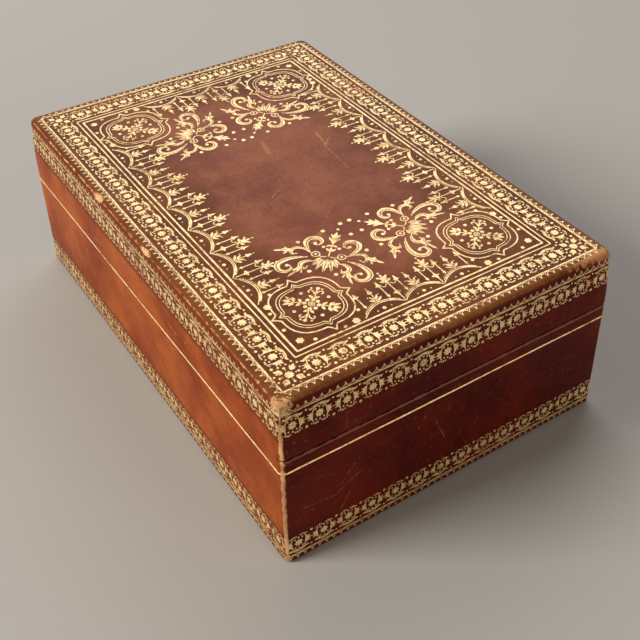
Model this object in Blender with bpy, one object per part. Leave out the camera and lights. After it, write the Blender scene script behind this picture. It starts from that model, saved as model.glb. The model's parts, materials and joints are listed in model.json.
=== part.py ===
"""Leather jewellery case: a wooden carcass in tooled leather, with a leather-hinged lid, a lined inside and a tray.

The case stands on z = 0 with its centre over the origin. +X runs along the long side, the lid opens from the
front at -Y, and the leather hinge runs along the back at +Y. Lengths are in metres.
"""

import math

import bmesh
import bpy
from mathutils import Vector

# Outside
LENGTH = 0.250
WIDTH = 0.166
HEIGHT = 0.088
LID_HEIGHT = 0.0285
PARTING_GAP = 0.0007
CORNER_RADIUS = 0.0026
EDGE_RADIUS = 0.0022

# Thicknesses
LEATHER = 0.0012
WALL_BOARD = 0.0050
FLOOR_BOARD = 0.0040
LINING = 0.0022
UNDERSIDE_CLOTH = 0.0015
CLEARANCE = 0.0003

# Leather turned in under the floor, and the bending strip on each side of the parting
UNDER_TURN_IN = 0.014
HINGE_REACH = 0.004
HINGE_END_INSET = 0.003

# Inside of the base
LIP_HEIGHT = 0.0025
LIP_RUNNING_CLEARANCE = 0.0006
FLOOR_PAD = 0.0040
TRAY_REST_TOP = 0.0300
TRAY_REST_WIDTH = 0.0040

# Inside of the lid
LID_PAD = 0.0077

# Ribbon stays, folded flat against the end linings
RIBBON_WIDTH = 0.0080
RIBBON_THICKNESS = 0.0008
RIBBON_FOLD_HALF_HEIGHT = 0.0030
RIBBON_ANCHOR_FROM_HINGE = 0.104
LID_OPENING = math.radians(105)

# Tray
TRAY_END_CLEARANCE = 0.0018
TRAY_SIDE_CLEARANCE = 0.0010
TRAY_HEIGHT = 0.0245
TRAY_WALL = 0.0025
TRAY_FLOOR = 0.0020
DIVIDER = 0.0020
DIVIDER_DROP = 0.0020
CROSS_DIVIDER_X = -0.0210
LONG_DIVIDER_Y = -0.0100
SHORT_DIVIDER_X = 0.0460
COMPARTMENT_PAD = 0.0020
PAD_INSET = 0.0003
ROLL_COUNT = 6
ROLL_HEIGHT = 0.0135
ROLL_ARC_STEPS = 8
TAB_WIDTH = 0.014
TAB_GLUED_DEPTH = 0.0105
TAB_RISE = 0.0040
TAB_THICKNESS = 0.0010
SOFT_EDGE = 0.0008

# Levels
PARTING_Z = HEIGHT - LID_HEIGHT
RIM_Z = PARTING_Z - PARTING_GAP / 2
LID_RIM_Z = PARTING_Z + PARTING_GAP / 2
COVER_BOTTOM_Z = CLEARANCE
FLOOR_BOARD_Z = UNDERSIDE_CLOTH + CLEARANCE
BASE_WALL_Z = FLOOR_BOARD_Z + FLOOR_BOARD + CLEARANCE
BASE_WALL_TOP = RIM_Z - LEATHER - CLEARANCE
LIP_TOP = PARTING_Z + LIP_HEIGHT
LID_BOARD_TOP = HEIGHT - LEATHER - CLEARANCE
LID_BOARD_Z = LID_BOARD_TOP - FLOOR_BOARD
LID_WALL_Z = LID_RIM_Z + LEATHER + CLEARANCE
LID_WALL_TOP = LID_BOARD_Z - CLEARANCE
LID_LINING_Z = LIP_TOP + LIP_RUNNING_CLEARANCE
TRAY_Z = TRAY_REST_TOP + CLEARANCE
TRAY_TOP = TRAY_Z + TRAY_HEIGHT
TRAY_INSIDE_Z = TRAY_Z + TRAY_FLOOR + CLEARANCE

# Half-lengths and half-widths of the nested rectangles, from the outside in
SKIN = Vector((LENGTH / 2, WIDTH / 2))
CARCASS = SKIN - Vector((1, 1)) * (LEATHER + CLEARANCE)
CARCASS_INSIDE = CARCASS - Vector((1, 1)) * WALL_BOARD
LINING_OUTSIDE = CARCASS_INSIDE - Vector((1, 1)) * CLEARANCE
LINING_INSIDE = LINING_OUTSIDE - Vector((1, 1)) * LINING
TRAY = LINING_INSIDE - Vector((TRAY_END_CLEARANCE, TRAY_SIDE_CLEARANCE))
TRAY_INSIDE = TRAY - Vector((1, 1)) * TRAY_WALL


def clear_scene():
    for obj in list(bpy.data.objects):
        bpy.data.objects.remove(obj, do_unlink=True)


def make_material(name, colour, roughness, metallic=0.0):
    """A Principled material with one colour."""
    material = bpy.data.materials.new(name)
    material.use_nodes = True
    shader = material.node_tree.nodes["Principled BSDF"]
    shader.inputs["Base Color"].default_value = (*colour, 1.0)
    shader.inputs["Roughness"].default_value = roughness
    shader.inputs["Metallic"].default_value = metallic
    return material


def make_materials():
    return {
        "leather": make_material("tooled_leather", (0.23, 0.060, 0.030), 0.45),
        "wood": make_material("carcass_wood", (0.55, 0.38, 0.22), 0.70),
        "cloth": make_material("underside_cloth", (0.10, 0.045, 0.035), 0.90),
        "silk": make_material("moire_silk", (0.50, 0.36, 0.19), 0.45),
        "velvet": make_material("velvet", (0.22, 0.035, 0.035), 0.95),
        "ribbon": make_material("ribbon", (0.55, 0.40, 0.20), 0.50),
    }


def make_axis(name, location):
    """An empty on a joint's axis, which the joint's pieces hang from."""
    empty = bpy.data.objects.new(name, None)
    empty.location = location
    bpy.context.scene.collection.objects.link(empty)
    return empty


def add_object(name, mesh_builder, centre, material, parent=None):
    """Links a named object. Its mesh is built round its own centre, and it hangs from parent if there is one."""
    mesh = bpy.data.meshes.new(name)
    shape = mesh_builder()
    bmesh.ops.recalc_face_normals(shape, faces=shape.faces)
    shape.to_mesh(mesh)
    shape.free()
    if material:
        mesh.materials.append(material)
    obj = bpy.data.objects.new(name, mesh)
    obj.location = centre
    if parent:
        obj.parent = parent
        obj.location = Vector(centre) - parent.location
    bpy.context.scene.collection.objects.link(obj)
    return obj


def box_shape(size):
    shape = bmesh.new()
    bmesh.ops.create_cube(shape, size=1.0)
    bmesh.ops.scale(shape, vec=size, verts=shape.verts)
    return shape


def add_box(name, low, high, material=None, parent=None, soft=0.0):
    """A box between two corners. soft rounds its edges."""
    low, high = Vector(low), Vector(high)
    obj = add_object(name, lambda: box_shape(high - low), (low + high) / 2, material, parent)
    if soft:
        rounding = obj.modifiers.new("soft_edges", "BEVEL")
        rounding.width = soft
        rounding.segments = 2
    return obj


def cut(obj, cutter, name):
    """Cuts the cutter's shape out of obj, and leaves the cutter as a wire helper."""
    cutter.hide_render = True
    cutter.display_type = "WIRE"
    boolean = obj.modifiers.new(name, "BOOLEAN")
    boolean.operation = "DIFFERENCE"
    boolean.solver = "EXACT"
    boolean.object = cutter


def frame_corners(half, bottom, top):
    """The two corners of a box centred on the z axis."""
    return (-half.x, -half.y, bottom), (half.x, half.y, top)


def skin_shape(size, round_top):
    """A block of the outside's size, with rounded upright corners and, on the lid, a rounded top edge."""
    shape = box_shape(size)
    upright = [e for e in shape.edges if abs(e.verts[0].co.z - e.verts[1].co.z) > size.z / 2]
    bmesh.ops.bevel(shape, geom=upright, offset=CORNER_RADIUS, segments=4, profile=0.5, affect="EDGES")
    if round_top:
        top = size.z / 2 - CLEARANCE
        rim = [e for e in shape.edges if min(v.co.z for v in e.verts) > top]
        bmesh.ops.bevel(shape, geom=rim, offset=EDGE_RADIUS, segments=3, profile=0.5, affect="EDGES")
    return shape


def add_skin(name, bottom, top, round_top, material, parent=None):
    size = Vector((LENGTH, WIDTH, top - bottom))
    centre = (0, 0, (bottom + top) / 2)
    skin = add_object(name, lambda: skin_shape(size, round_top), centre, material, parent)
    skin.data.shade_smooth()
    skin.data.set_sharp_from_angle(angle=math.radians(40))
    return skin


def cut_hinge_recess(skin, bottom, top):
    """Takes away the back leather next to the parting, where the bending strip goes."""
    end = SKIN.x - HINGE_END_INSET
    low = (-end, SKIN.y - LEATHER - CLEARANCE, bottom)
    high = (end, SKIN.y + LEATHER, top)
    cut(skin, add_box(f"{skin.name}_hinge_cutter", low, high), "hinge_recess")


def add_base_cover(material):
    """Leather round the base walls, turned in over the rim and under the floor."""
    skin = add_skin("base_leather_cover", COVER_BOTTOM_Z, RIM_Z, False, material)
    inner = CARCASS + Vector((1, 1)) * CLEARANCE
    hollow = frame_corners(inner, COVER_BOTTOM_Z + LEATHER, RIM_Z - LEATHER)
    mouth = frame_corners(CARCASS_INSIDE, FLOOR_BOARD_Z, RIM_Z + LEATHER)
    under = frame_corners(SKIN - Vector((1, 1)) * UNDER_TURN_IN, -LEATHER, FLOOR_BOARD_Z)
    cut(skin, add_box("base_hollow_cutter", *hollow), "hollow")
    cut(skin, add_box("base_mouth_cutter", *mouth), "mouth")
    cut(skin, add_box("base_under_cutter", *under), "under")
    cut_hinge_recess(skin, PARTING_Z - HINGE_REACH, RIM_Z + LEATHER)


def add_lid_cover(material, parent):
    """Leather over the lid's top and sides, turned in over its rim."""
    skin = add_skin("lid_leather_cover", LID_RIM_Z, HEIGHT, True, material, parent)
    inner = CARCASS + Vector((1, 1)) * CLEARANCE
    hollow = frame_corners(inner, LID_RIM_Z + LEATHER, HEIGHT - LEATHER)
    mouth = frame_corners(CARCASS_INSIDE + Vector((1, 1)) * CLEARANCE, LID_RIM_Z - LEATHER, LID_WALL_Z)
    cut(skin, add_box("lid_hollow_cutter", *hollow), "hollow")
    cut(skin, add_box("lid_mouth_cutter", *mouth), "mouth")
    cut_hinge_recess(skin, LID_RIM_Z - LEATHER, PARTING_Z + HINGE_REACH)


def add_walls(prefix, suffix, outside, inside, bottom, top, material, parent=None, soft=0.0):
    """Four upright boards: the front and back run the full length, and the ends fit between them."""
    end = inside.y - CLEARANCE
    corners = {
        "front": ((-outside.x, -outside.y, bottom), (outside.x, -inside.y, top)),
        "back": ((-outside.x, inside.y, bottom), (outside.x, outside.y, top)),
        "left": ((-outside.x, -end, bottom), (-inside.x, end, top)),
        "right": ((inside.x, -end, bottom), (outside.x, end, top)),
    }
    for side, (low, high) in corners.items():
        add_box(f"{prefix}_{side}_{suffix}", low, high, material, parent, soft)


def add_base(materials):
    """Carcass, cover, lining and the strips that carry the tray."""
    wood, silk = materials["wood"], materials["silk"]
    floor = frame_corners(CARCASS, FLOOR_BOARD_Z, FLOOR_BOARD_Z + FLOOR_BOARD)
    add_box("base_bottom_board", *floor, wood)
    add_walls("base", "board", CARCASS, CARCASS_INSIDE, BASE_WALL_Z, BASE_WALL_TOP, wood)
    add_base_cover(materials["leather"])
    cloth_half = SKIN - Vector((1, 1)) * (UNDER_TURN_IN + CLEARANCE)
    add_box("base_underside_cloth", *frame_corners(cloth_half, 0.0, UNDERSIDE_CLOTH), materials["cloth"])
    add_walls("base", "lining", LINING_OUTSIDE, LINING_INSIDE, BASE_WALL_Z, LIP_TOP, silk)
    rest_outside = LINING_INSIDE.x - CLEARANCE
    rest_inside = rest_outside - TRAY_REST_WIDTH
    rest_end = LINING_INSIDE.y - CLEARANCE
    for side, sign in (("left", -1), ("right", 1)):
        near, far = sorted((sign * rest_inside, sign * rest_outside))
        low, high = (near, -rest_end, BASE_WALL_Z), (far, rest_end, TRAY_REST_TOP)
        add_box(f"tray_rest_{side}", low, high, silk)
    pad_half = Vector((rest_inside - CLEARANCE, rest_end))
    pad = frame_corners(pad_half, BASE_WALL_Z, BASE_WALL_Z + FLOOR_PAD)
    add_box("base_floor_pad", *pad, materials["velvet"], soft=SOFT_EDGE)


def add_lid(materials, parent):
    """Carcass, cover and lining of the lid."""
    wood, silk = materials["wood"], materials["silk"]
    add_box("lid_top_board", *frame_corners(CARCASS, LID_BOARD_Z, LID_BOARD_TOP), wood, parent)
    add_walls("lid", "board", CARCASS, CARCASS_INSIDE, LID_WALL_Z, LID_WALL_TOP, wood, parent)
    add_lid_cover(materials["leather"], parent)
    add_walls("lid", "lining", LINING_OUTSIDE, LINING_INSIDE, LID_LINING_Z, LID_WALL_TOP, silk, parent)
    pad_half = LINING_INSIDE - Vector((1, 1)) * CLEARANCE
    pad = frame_corners(pad_half, LID_WALL_TOP - LID_PAD, LID_WALL_TOP)
    add_box("lid_padded_lining", *pad, silk, parent, soft=SOFT_EDGE * 3)


def add_hinge(material):
    """The strip of back leather that bends on the line where the lid parts from the base."""
    end = SKIN.x - HINGE_END_INSET - CLEARANCE
    reach = HINGE_REACH - CLEARANCE
    low = (-end, SKIN.y - LEATHER, PARTING_Z - reach)
    high = (end, SKIN.y, PARTING_Z + reach)
    add_box("leather_hinge", low, high, material)


def add_ribbon_stays(material):
    """Each ribbon lies folded in two. Stretched, it spans the chord between its anchors on the open lid and the base."""
    anchor_y = SKIN.y - RIBBON_ANCHOR_FROM_HINGE
    fold_y = SKIN.y - RIBBON_ANCHOR_FROM_HINGE * math.cos(LID_OPENING / 2)
    outside = LINING_INSIDE.x - CLEARANCE
    inside = outside - RIBBON_THICKNESS
    half = RIBBON_WIDTH / 2
    for side, sign in (("left", -1), ("right", 1)):
        near, far = sorted((sign * inside, sign * outside))
        low = (near, anchor_y - half, PARTING_Z - RIBBON_FOLD_HALF_HEIGHT)
        high = (far, fold_y + half, PARTING_Z + RIBBON_FOLD_HALF_HEIGHT)
        add_box(f"ribbon_stay_{side}", low, high, material)


def roll_shape(width, length, height):
    """A padded roll: flat underneath, with a round top, running along Y."""
    radius = width / 2
    spring = height - radius
    outline = [(-radius, 0.0), (radius, 0.0)]
    for step in range(ROLL_ARC_STEPS + 1):
        angle = math.pi * step / ROLL_ARC_STEPS
        outline.append((radius * math.cos(angle), spring + radius * math.sin(angle)))
    shape = bmesh.new()
    ring = [shape.verts.new((x, -length / 2, z - height / 2)) for x, z in outline]
    face = shape.faces.new(ring)
    swept = bmesh.ops.extrude_face_region(shape, geom=[face])
    moved = [item for item in swept["geom"] if isinstance(item, bmesh.types.BMVert)]
    bmesh.ops.translate(shape, vec=(0, length, 0), verts=moved)
    return shape


def add_ring_rolls(material, parent):
    """Rolls side by side in the tray's left part."""
    start = -TRAY_INSIDE.x + PAD_INSET
    stop = CROSS_DIVIDER_X - DIVIDER / 2 - PAD_INSET
    pitch = (stop - start) / ROLL_COUNT
    length = 2 * (TRAY_INSIDE.y - PAD_INSET)
    for index in range(ROLL_COUNT):
        centre = (start + (index + 0.5) * pitch, 0, TRAY_INSIDE_Z + ROLL_HEIGHT / 2)
        name = f"ring_roll_{index + 1}"
        roll = add_object(
            name, lambda: roll_shape(pitch - CLEARANCE, length, ROLL_HEIGHT), centre, material, parent
        )
        roll.data.shade_smooth()
        roll.data.set_sharp_from_angle(angle=math.radians(40))


def add_dividers(material, parent):
    top = TRAY_TOP - DIVIDER_DROP
    half = DIVIDER / 2
    end = TRAY_INSIDE.y - CLEARANCE
    cross = CROSS_DIVIDER_X
    add_box("tray_cross_divider", (cross - half, -end, TRAY_INSIDE_Z), (cross + half, end, top), material, parent)
    long_start = cross + half + CLEARANCE
    low = (long_start, LONG_DIVIDER_Y - half, TRAY_INSIDE_Z)
    add_box("tray_long_divider", low, (TRAY_INSIDE.x - CLEARANCE, LONG_DIVIDER_Y + half, top), material, parent)
    low = (SHORT_DIVIDER_X - half, LONG_DIVIDER_Y + half + CLEARANCE, TRAY_INSIDE_Z)
    add_box("tray_short_divider", low, (SHORT_DIVIDER_X + half, end, top), material, parent)


def add_compartment_pads(material, parent):
    """A thin velvet pad on the floor of each open compartment."""
    bottom, top = TRAY_INSIDE_Z, TRAY_INSIDE_Z + COMPARTMENT_PAD
    gap = DIVIDER / 2 + PAD_INSET
    left, right = CROSS_DIVIDER_X + gap, TRAY_INSIDE.x - PAD_INSET
    side = TRAY_INSIDE.y - PAD_INSET
    pads = {
        "front": ((left, -side), (right, LONG_DIVIDER_Y - gap)),
        "back_left": ((left, LONG_DIVIDER_Y + gap), (SHORT_DIVIDER_X - gap, side)),
        "back_right": ((SHORT_DIVIDER_X + gap, LONG_DIVIDER_Y + gap), (right, side)),
    }
    for place, (low, high) in pads.items():
        add_box(f"compartment_pad_{place}", (*low, bottom), (*high, top), material, parent, soft=SOFT_EDGE / 2)


def add_tray_tabs(material, parent):
    """Ribbon tabs glued inside the tray's ends and standing above its rim."""
    for side, sign in (("left", -1), ("right", 1)):
        inner_face = TRAY_INSIDE.x - PAD_INSET
        near, far = sorted((sign * (inner_face - TAB_THICKNESS), sign * inner_face))
        low = (near, -TAB_WIDTH / 2, TRAY_TOP - TAB_GLUED_DEPTH)
        high = (far, TAB_WIDTH / 2, TRAY_TOP + TAB_RISE)
        add_box(f"tray_tab_{side}", low, high, material, parent)


def add_tray(materials, parent):
    velvet = materials["velvet"]
    add_box("tray_floor_board", *frame_corners(TRAY, TRAY_Z, TRAY_Z + TRAY_FLOOR), velvet, parent)
    add_walls("tray", "wall", TRAY, TRAY_INSIDE, TRAY_INSIDE_Z, TRAY_TOP, velvet, parent)
    add_dividers(velvet, parent)
    add_ring_rolls(velvet, parent)
    add_compartment_pads(velvet, parent)
    add_tray_tabs(materials["ribbon"], parent)


def main():
    clear_scene()
    materials = make_materials()
    lid_axis = make_axis("lid_axis", (0, SKIN.y, PARTING_Z))
    tray_axis = make_axis("tray_axis", (0, 0, TRAY_Z))
    add_base(materials)
    add_lid(materials, lid_axis)
    add_hinge(materials["leather"])
    add_ribbon_stays(materials["ribbon"])
    add_tray(materials, tray_axis)


main()
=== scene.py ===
"""Looks of a leather jewellery case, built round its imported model.

Lengths are in metres in the model's frame: +X along the long side, +Y towards the leather hinge, +Z up.
The gold tooling is drawn flat, in millimetres, and then laid on the leather.
"""

import json
import math

import bmesh
import bpy
import numpy as np
from mathutils import Matrix, Vector, noise


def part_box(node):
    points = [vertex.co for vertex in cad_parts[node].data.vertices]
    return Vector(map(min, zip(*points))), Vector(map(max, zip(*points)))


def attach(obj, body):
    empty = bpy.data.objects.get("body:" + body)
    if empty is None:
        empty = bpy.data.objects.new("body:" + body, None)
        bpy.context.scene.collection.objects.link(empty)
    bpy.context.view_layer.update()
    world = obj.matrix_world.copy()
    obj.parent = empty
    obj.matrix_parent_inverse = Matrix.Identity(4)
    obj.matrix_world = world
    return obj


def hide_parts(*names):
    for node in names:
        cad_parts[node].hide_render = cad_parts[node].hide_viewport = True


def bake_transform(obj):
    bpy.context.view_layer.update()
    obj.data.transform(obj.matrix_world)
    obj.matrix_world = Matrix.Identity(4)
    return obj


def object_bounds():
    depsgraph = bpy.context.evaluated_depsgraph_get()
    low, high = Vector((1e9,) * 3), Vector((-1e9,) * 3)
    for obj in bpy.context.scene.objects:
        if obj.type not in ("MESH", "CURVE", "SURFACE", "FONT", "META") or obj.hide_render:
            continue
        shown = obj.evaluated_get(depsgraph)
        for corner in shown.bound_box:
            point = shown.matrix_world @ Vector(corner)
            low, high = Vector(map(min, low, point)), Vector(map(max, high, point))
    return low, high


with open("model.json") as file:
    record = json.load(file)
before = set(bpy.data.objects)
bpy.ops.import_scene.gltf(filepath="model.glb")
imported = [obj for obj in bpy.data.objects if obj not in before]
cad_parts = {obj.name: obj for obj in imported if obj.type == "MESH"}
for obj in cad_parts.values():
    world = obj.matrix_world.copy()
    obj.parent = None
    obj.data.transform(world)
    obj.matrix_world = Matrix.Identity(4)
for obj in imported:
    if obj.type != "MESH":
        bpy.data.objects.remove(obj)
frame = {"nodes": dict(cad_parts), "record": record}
CAD_LOW, CAD_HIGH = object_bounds()

MM = 0.001

# Outside, from the frame
HALF_X, HALF_Y, TOP = CAD_HIGH
LONG_HALF, SHORT_HALF = HALF_X / MM, HALF_Y / MM
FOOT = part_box("base_leather_cover")[0].z
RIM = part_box("base_leather_cover")[1].z
LID_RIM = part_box("lid_leather_cover")[0].z
PARTING = (RIM + LID_RIM) / 2
CARCASS_IN_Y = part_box("base_back_board")[0].y
HINGE_LOW, HINGE_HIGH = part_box("leather_hinge")

# Leather
LEATHER = 1.2 * MM
CORNER_RADIUS = 2.6 * MM
TOP_CORNER_RADIUS = 4.0 * MM
SMALLEST_RADIUS = 0.25 * MM
TAPER = 0.8 * MM
EDGE_RADIUS = 2.3 * MM
RIM_RADIUS = 0.7 * MM
FOOT_RADIUS = 1.0 * MM
UNDER_TURN_IN = 14.0 * MM
RING_STEP = 7.0 * MM
ARC_STEPS = 7
SMOOTH_ANGLE = 40
HINGE_MARGIN = 0.3 * MM
HINGE_CLEARANCE = 0.02 * MM
HINGE_END = HINGE_HIGH.x + HINGE_MARGIN
HINGE_REACH = PARTING - HINGE_LOW.z + 0.28 * MM

# Lid stays and tray tabs
LID_OPENING = 105.0
STAY_FOLD = 3.0 * MM
STAY_WIDTH = 8.0 * MM
STAY_TAIL = 6.0 * MM
STAY_THICKNESS = 0.5 * MM
TAB_THICKNESS = 0.35 * MM

# Gold tooling, in millimetres
FOIL_HEIGHT = 0.07
FOIL_DOME = 0.05
FOIL_SINK = 0.03
ROLL_PITCH = 11.9
ROLL_SCALE = 1.12
TOOTH_PITCH = 3.46
SIDE_FILLET = 5.5
SIDE_ROLL = 11.7
BASE_FILLET = 6.3
BASE_FILLET_DOME = 0.26
FOOT_FILLET = 4.2
FOOT_ROLL = 10.4
TOP_FILLET = 6.0
TOP_ROLL = 12.7
TOP_THIN_FILLET = 19.4
TOP_THICK_FILLET = 21.8
MEDALLION_INSET = (20.6, 19.2)
FLEURON_DISTANCE = 31.0
RUBBED_RADIUS = 9.0

# Lace along a long and a short side: width of a scallop, number of scallops, and place of the end posts
LONG_LACE = (20.3, 7, 65.6)
SHORT_LACE = (19.3, 3, 25.6)

# The sides in turn: the way each faces, half its length and its distance from the middle, in millimetres
SIDES = (
    (math.pi / 2, LONG_HALF, SHORT_HALF),
    (math.pi, SHORT_HALF, LONG_HALF),
    (-math.pi / 2, LONG_HALF, SHORT_HALF),
    (0.0, SHORT_HALF, LONG_HALF),
)

# Camera
CAMERA_AIM = Vector((-0.0157, -0.0210, 0.0434))
CAMERA_DISTANCE = 0.516
CAMERA_AZIMUTH = 236.3
CAMERA_ELEVATION = 37.0
CAMERA_ROLL = -0.29
CAMERA_LENS = 59.3
CAMERA_SHIFT = (-0.047, -0.100)

# Scratches and rubbed spots on the leather: start, end and half-width in millimetres, and how pale they are
SCRATCHES = (
    ((30, -31, 88), (17, -29, 88), 0.75, 1.0),
    ((21, -33, 88), (15, -27, 88), 0.6, 0.9),
    ((17, -28, 88), (-8, -26, 88), 0.45, 0.7),
    ((36, -4, 88), (26, -2, 88), 1.9, 0.6),
    ((55, -4, 88), (53, -3, 88), 0.6, 0.8),
    ((-27, -5, 88), (-40, 10, 88), 0.35, 0.5),
    ((-5, 11, 88), (-9, 17, 88), 0.45, 0.7),
    ((-9, 12, 88), (-13, 20, 88), 0.4, 0.7),
    ((-44, 13, 88), (-48, 19, 88), 1.8, 0.6),
    ((-125, 53, 24), (-125, 57, 17), 0.5, 0.45),
    ((-125, 57, 31), (-125, 50, 40), 0.4, 0.4),
    ((-125, 74, 29), (-125, 60, 27), 0.35, 0.4),
    ((-125, 60, 27), (-125, 47, 34), 0.35, 0.4),
    ((-125, 10, 40), (-125, 4, 26), 0.4, 0.4),
    ((-125, 19, 41), (-125, 12, 51), 0.35, 0.35),
    ((-125, 53, 71), (-125, 54, 61), 0.4, 0.4),
    ((-125, -11, 35), (-125, -13, 28), 0.35, 0.3),
    ((-40, 83, 61), (-32, 83, 62), 0.6, 0.8),
    ((-52, 83, 70), (-48, 83, 62), 0.45, 0.6),
    ((-66, 83, 38), (-58, 83, 43), 0.6, 0.45),
    ((38, 83, 60), (48, 83, 59), 0.7, 0.7),
    ((103, 83, 38), (106, 83, 48), 0.6, 0.35),
)

# Spots rubbed through the dye: middle, how fast each fades along X, Y and Z, and radius
WORN_SPOTS = (
    ((-HALF_X, HALF_Y, TOP), (1.15, 1.15, 0.9), 7.5 * MM),
    ((-HALF_X + 1 * MM, -HALF_Y, TOP + 1 * MM), (1.7, 0.32, 1.9), 8.0 * MM),
    ((-HALF_X + 16 * MM, HALF_Y, TOP + 1 * MM), (0.20, 2.2, 2.2), 4.4 * MM),
    ((37 * MM, HALF_Y - 1 * MM, TOP), (0.50, 1.1, 1.1), 2.6 * MM),
    ((-13 * MM, HALF_Y - 1 * MM, TOP), (0.38, 1.3, 1.3), 1.9 * MM),
)

random = np.random.default_rng(1850)


# ---------------------------------------------------------------- materials


class Signal:
    """A value that varies over the surface, to add, subtract and multiply as numbers are."""

    def __init__(self, graph, socket):
        self.graph = graph
        self.socket = socket

    def __add__(self, other):
        return self.graph.math("ADD", self, other)

    def __sub__(self, other):
        return self.graph.math("SUBTRACT", self, other)

    def __rsub__(self, other):
        return self.graph.math("SUBTRACT", other, self)

    def __mul__(self, other):
        return self.graph.math("MULTIPLY", self, other)


class Graph:
    """A Principled material and short ways to add nodes to it."""

    def __init__(self, name, **settings):
        self.material = bpy.data.materials.new(name)
        self.material.use_nodes = True
        self.tree = self.material.node_tree
        self.shader = self.tree.nodes["Principled BSDF"]
        self.place = self.node("TexCoord", {}, "Object")
        for socket, value in settings.items():
            self.set(socket.replace("_", " "), value)

    def feed(self, socket, value):
        if isinstance(value, Signal):
            self.tree.links.new(value.socket, socket)
        elif socket.type == "RGBA":
            socket.default_value = (*value, 1)
        else:
            socket.default_value = value

    def set(self, socket, value):
        self.feed(self.shader.inputs[socket], value)

    def node(self, kind, inputs, output=0, **settings):
        """A node with its inputs fed by name or number, as the signal that it gives."""
        node = self.tree.nodes.new("ShaderNode" + kind)
        for name, value in settings.items():
            setattr(node, name, value)
        for socket, value in inputs.items():
            self.feed(node.inputs[socket], value)
        return Signal(self, node.outputs[output])

    def math(self, operation, *values):
        return self.node("Math", dict(enumerate(values)), operation=operation)

    def vector(self, operation, *values, output="Vector"):
        return self.node("VectorMath", dict(enumerate(values)), output, operation=operation)

    def stretch(self, scale):
        return self.vector("MULTIPLY", self.place, scale)

    def noise(self, scale, detail=4.0, roughness=0.55, place=None):
        inputs = {"Vector": place or self.place, "Scale": scale, "Detail": detail, "Roughness": roughness}
        return self.node("TexNoise", inputs, "Fac")

    def cells(self, scale):
        inputs = {"Vector": self.place, "Scale": scale}
        return self.node("TexVoronoi", inputs, "Distance", feature="SMOOTH_F1")

    def between(self, value, low, high, out_low=0.0, out_high=1.0):
        """Smooth step of value from low to high."""
        inputs = dict(enumerate((value, low, high, out_low, out_high)))
        return self.node("MapRange", inputs, interpolation_type="SMOOTHSTEP")

    def mix(self, factor, first, second, blend="MIX"):
        return self.node("Mix", {0: factor, 6: first, 7: second}, 2, data_type="RGBA", blend_type=blend)

    def split(self):
        return [self.node("SeparateXYZ", {0: self.place}, axis) for axis in range(3)]

    def near(self, point, stretch):
        """Distance from a point, counted shorter along an axis with a small stretch."""
        offset = self.vector("SUBTRACT", self.place, point)
        return self.vector("LENGTH", self.vector("MULTIPLY", offset, stretch), output="Value")

    def along(self, start, end):
        """Distance from the stretch between two points."""
        span = end - start
        offset = self.vector("SUBTRACT", self.place, start)
        share = self.vector("DOT_PRODUCT", offset, span / span.length_squared, output="Value")
        share = self.math("MINIMUM", self.math("MAXIMUM", share, 0.0), 1.0)
        reached = self.node("VectorMath", {0: span, "Scale": share}, operation="SCALE")
        return self.vector("LENGTH", self.vector("SUBTRACT", offset, reached), output="Value")

    def done(self, colour, roughness, relief, depth, strength):
        """The finished material, with its colour, roughness and the depth of its relief."""
        self.set("Base Color", colour)
        self.set("Roughness", roughness)
        self.set("Normal", self.node("Bump", {"Height": relief, "Distance": depth, "Strength": strength}))
        return self.material


def edge_distance(graph, x, y, z):
    """Distances from the upright, upper and lower edges and from the nearest wall.

    In the middle of a rounding the distance from its edge is about 0.7 mm.
    """
    taper = graph.between(z, PARTING + HINGE_REACH, TOP, 0, TAPER)
    from_end = HALF_X - graph.math("ABSOLUTE", x) - taper
    from_side = HALF_Y - graph.math("ABSOLUTE", y) - taper
    from_wall = graph.math("MINIMUM", from_end, from_side)
    upright = graph.math("MAXIMUM", from_end, from_side)
    upper = graph.math("MAXIMUM", from_wall, TOP - z)
    lower = graph.math("MAXIMUM", from_wall, z)
    return upright, upper, lower, from_wall


def dye_shade_and_sheen_colour(graph, x, y, z, upper, patch, streak):
    """Colour before wear: red-brown, with painted shade on the ends, faded on the top and on the hinge side, and
    painted sheen on the top.
    """
    cloud = graph.noise(26, 5, 0.6)
    colour = graph.mix(graph.between(cloud, 0.34, 0.68), (0.120, 0.0066, 0.0016), (0.213, 0.0164, 0.0041))
    colour = graph.mix(graph.between(patch, 0.52, 0.80, 0, 0.55), colour, (0.270, 0.045, 0.0115))
    colour = graph.mix(graph.between(streak, 0.56, 0.86, 0, 0.5), colour, (0.075, 0.008, 0.004))
    clouds = graph.between(cloud, 0.36, 0.64)
    # painted shade: the ends get a darker, redder tone than the rest of the leather
    end = graph.mix(clouds, (0.060, 0.0016, 0.0004), (0.125, 0.0066, 0.0008))
    # the top's tones: faded dye, with their green and blue raised as painted sheen
    centre = graph.mix(clouds, (0.235, 0.066, 0.032), (0.355, 0.130, 0.060))
    border = graph.mix(clouds, (0.125, 0.036, 0.007), (0.235, 0.082, 0.016))
    top = graph.mix(graph.between(upper, 50 * MM, 34 * MM), centre, border)
    back = graph.mix(clouds, (0.25, 0.038, 0.002), (0.43, 0.100, 0.014))
    tooled = graph.between(z, TOP - 20 * MM, TOP - 17 * MM) + graph.between(z, 18 * MM, 16 * MM)
    back = graph.mix(tooled, back, (0.175, 0.034, 0.003))
    end_shade_share = graph.between(graph.math("ABSOLUTE", x), HALF_X - 2.6 * MM, HALF_X - 1.0 * MM, 0, 0.75)
    top_fade_and_sheen_share = graph.between(z, TOP - 2.4 * MM, TOP - 0.1 * MM, 0, 0.74)
    back_share = graph.between(y, HALF_Y - 2.2 * MM, HALF_Y - 0.2 * MM, 0, 0.88)
    for share, tone in ((end_shade_share, end), (top_fade_and_sheen_share, top), (back_share, back)):
        colour = graph.mix(share, colour, tone)
    return colour


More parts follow.
